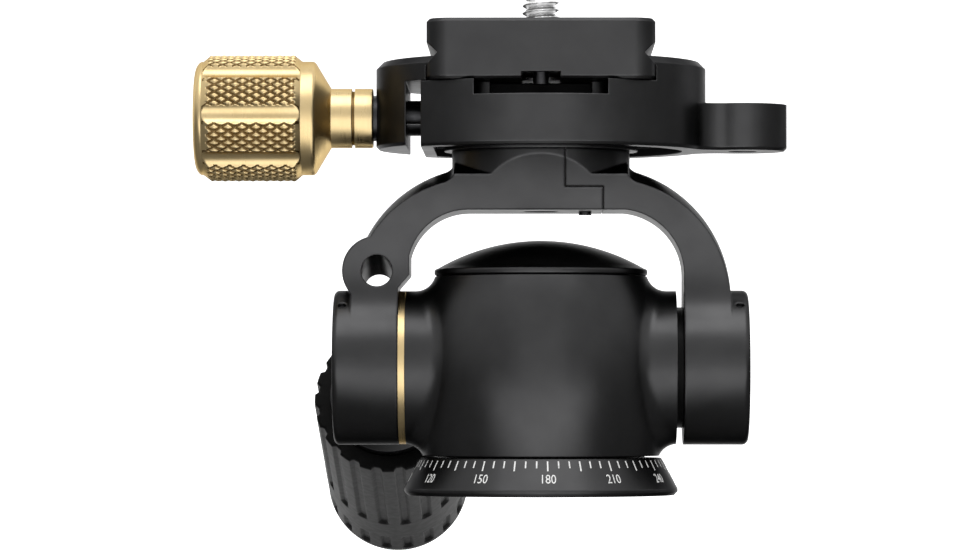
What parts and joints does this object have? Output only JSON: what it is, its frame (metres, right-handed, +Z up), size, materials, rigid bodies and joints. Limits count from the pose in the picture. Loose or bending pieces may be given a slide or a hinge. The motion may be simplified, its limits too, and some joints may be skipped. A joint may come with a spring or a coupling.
{
  "type": "tripod pan head",
  "caption": "Black two-axis tripod head: domed pan body in a tilting yoke with a pan handle and a screw-clamped quick-release plate with a camera screw.",
  "frame": {"origin": "centre of the base's bottom face, at the mouth of the tripod thread", "axes": "+Z up along the pan axis, X along the tilt axis, the front with the scale and the ear of the clamp on the right look along -Y, the handle leaves towards +Y"},
  "size_m": [0.1006, 0.1544, 0.0974],
  "materials": {
    "black_metal": "black anodised, satin",
    "gold_metal": "champagne gold anodised, satin",
    "steel": "turned",
    "bush": "turned",
    "washer": "matte",
    "pad": "matte",
    "grip": "matte",
    "core": "matte"
  },
  "bodies": {
    "base": {"base_ring": "black_metal", "pan_spindle": "steel", "base_screws": "steel", "pan_thrust_washer": "steel", "pan_spring_washer": "steel", "pan_preload_nut": "steel"},
    "pan_body": {"body_housing": "black_metal", "pan_bush": "bush", "pan_friction_washer": "washer", "dome_cap": "black_metal", "cap_seal_ring": "pad", "tilt_axle": "steel", "axle_grub_screw": "steel", "friction_ring": "gold_metal", "spacer_washer": "washer", "axle_end_washers": "steel", "axle_end_screws": "steel"},
    "yoke": {"yoke_left_arm": "black_metal", "yoke_right_arm": "black_metal", "lap_joint_screw": "steel", "right_hub_bush": "bush", "hub_caps": "black_metal", "hub_grub_screws": "steel", "clamp_base": "black_metal", "clamp_centre_bolt": "steel", "clamp_dowel_pins": "steel", "jaw_springs": "steel"},
    "lock_shoe": {"lock_shoe": "bush"},
    "handle": {"handle_rod": "steel", "handle_jam_nut": "steel", "handle_ferrule": "black_metal", "handle_core": "core", "handle_grip": "grip"},
    "jaw": {"clamp_jaw": "black_metal", "jaw_guide_pins": "steel"},
    "knob": {"clamp_screw": "steel", "clamp_knob": "gold_metal", "knob_collar": "steel"},
    "plate": {"quick_release_plate": "black_metal", "plate_pads": "pad", "plate_stop_screws": "steel"},
    "camera_screw": {"camera_screw": "steel", "camera_screw_washer": "steel"}
  },
  "joints": [
    {"name": "pan_turn", "type": "hinge", "parent": "base", "child": "pan_body", "pos_m": [0, 0, 0], "axis": [0, 0, 1], "continuous": true},
    {"name": "tilt", "type": "hinge", "parent": "pan_body", "child": "yoke", "pos_m": [0, 0, 0.0216], "axis": [1, 0, 0], "range_deg": [-60, 90]},
    {"name": "handle_turn", "type": "hinge", "parent": "yoke", "child": "handle", "pos_m": [-0.0276, 0.00223, 0.03017], "axis": [0, -0.9677, 0.2521], "range_deg": [0, 120]},
    {"name": "lock_shoe_slide", "type": "slide", "parent": "yoke", "child": "lock_shoe", "axis": [0, -0.9677, 0.2521], "range_m": [0, 0.0002666]},
    {"name": "jaw_slide", "type": "slide", "parent": "yoke", "child": "jaw", "axis": [-1, 0, 0], "range_m": [0, 0.0025]},
    {"name": "knob_turn", "type": "hinge", "parent": "jaw", "child": "knob", "pos_m": [-0.0277, 0, 0.064], "axis": [-1, 0, 0], "range_deg": [0, 900]},
    {"name": "plate_slide", "type": "slide", "parent": "yoke", "child": "plate", "axis": [0, 1, 0], "range_m": [-0.0075, 0.0075]},
    {"name": "camera_screw_turn", "type": "hinge", "parent": "plate", "child": "camera_screw", "pos_m": [0, 0, 0.0716], "axis": [0, 0, 1], "continuous": true}
  ],
  "couplings": [
    {"joint": "handle_turn", "follows": "lock_shoe_slide", "rad_per_m": 7854},
    {"joint": "knob_turn", "follows": "jaw_slide", "rad_per_m": 6283}
  ]
}
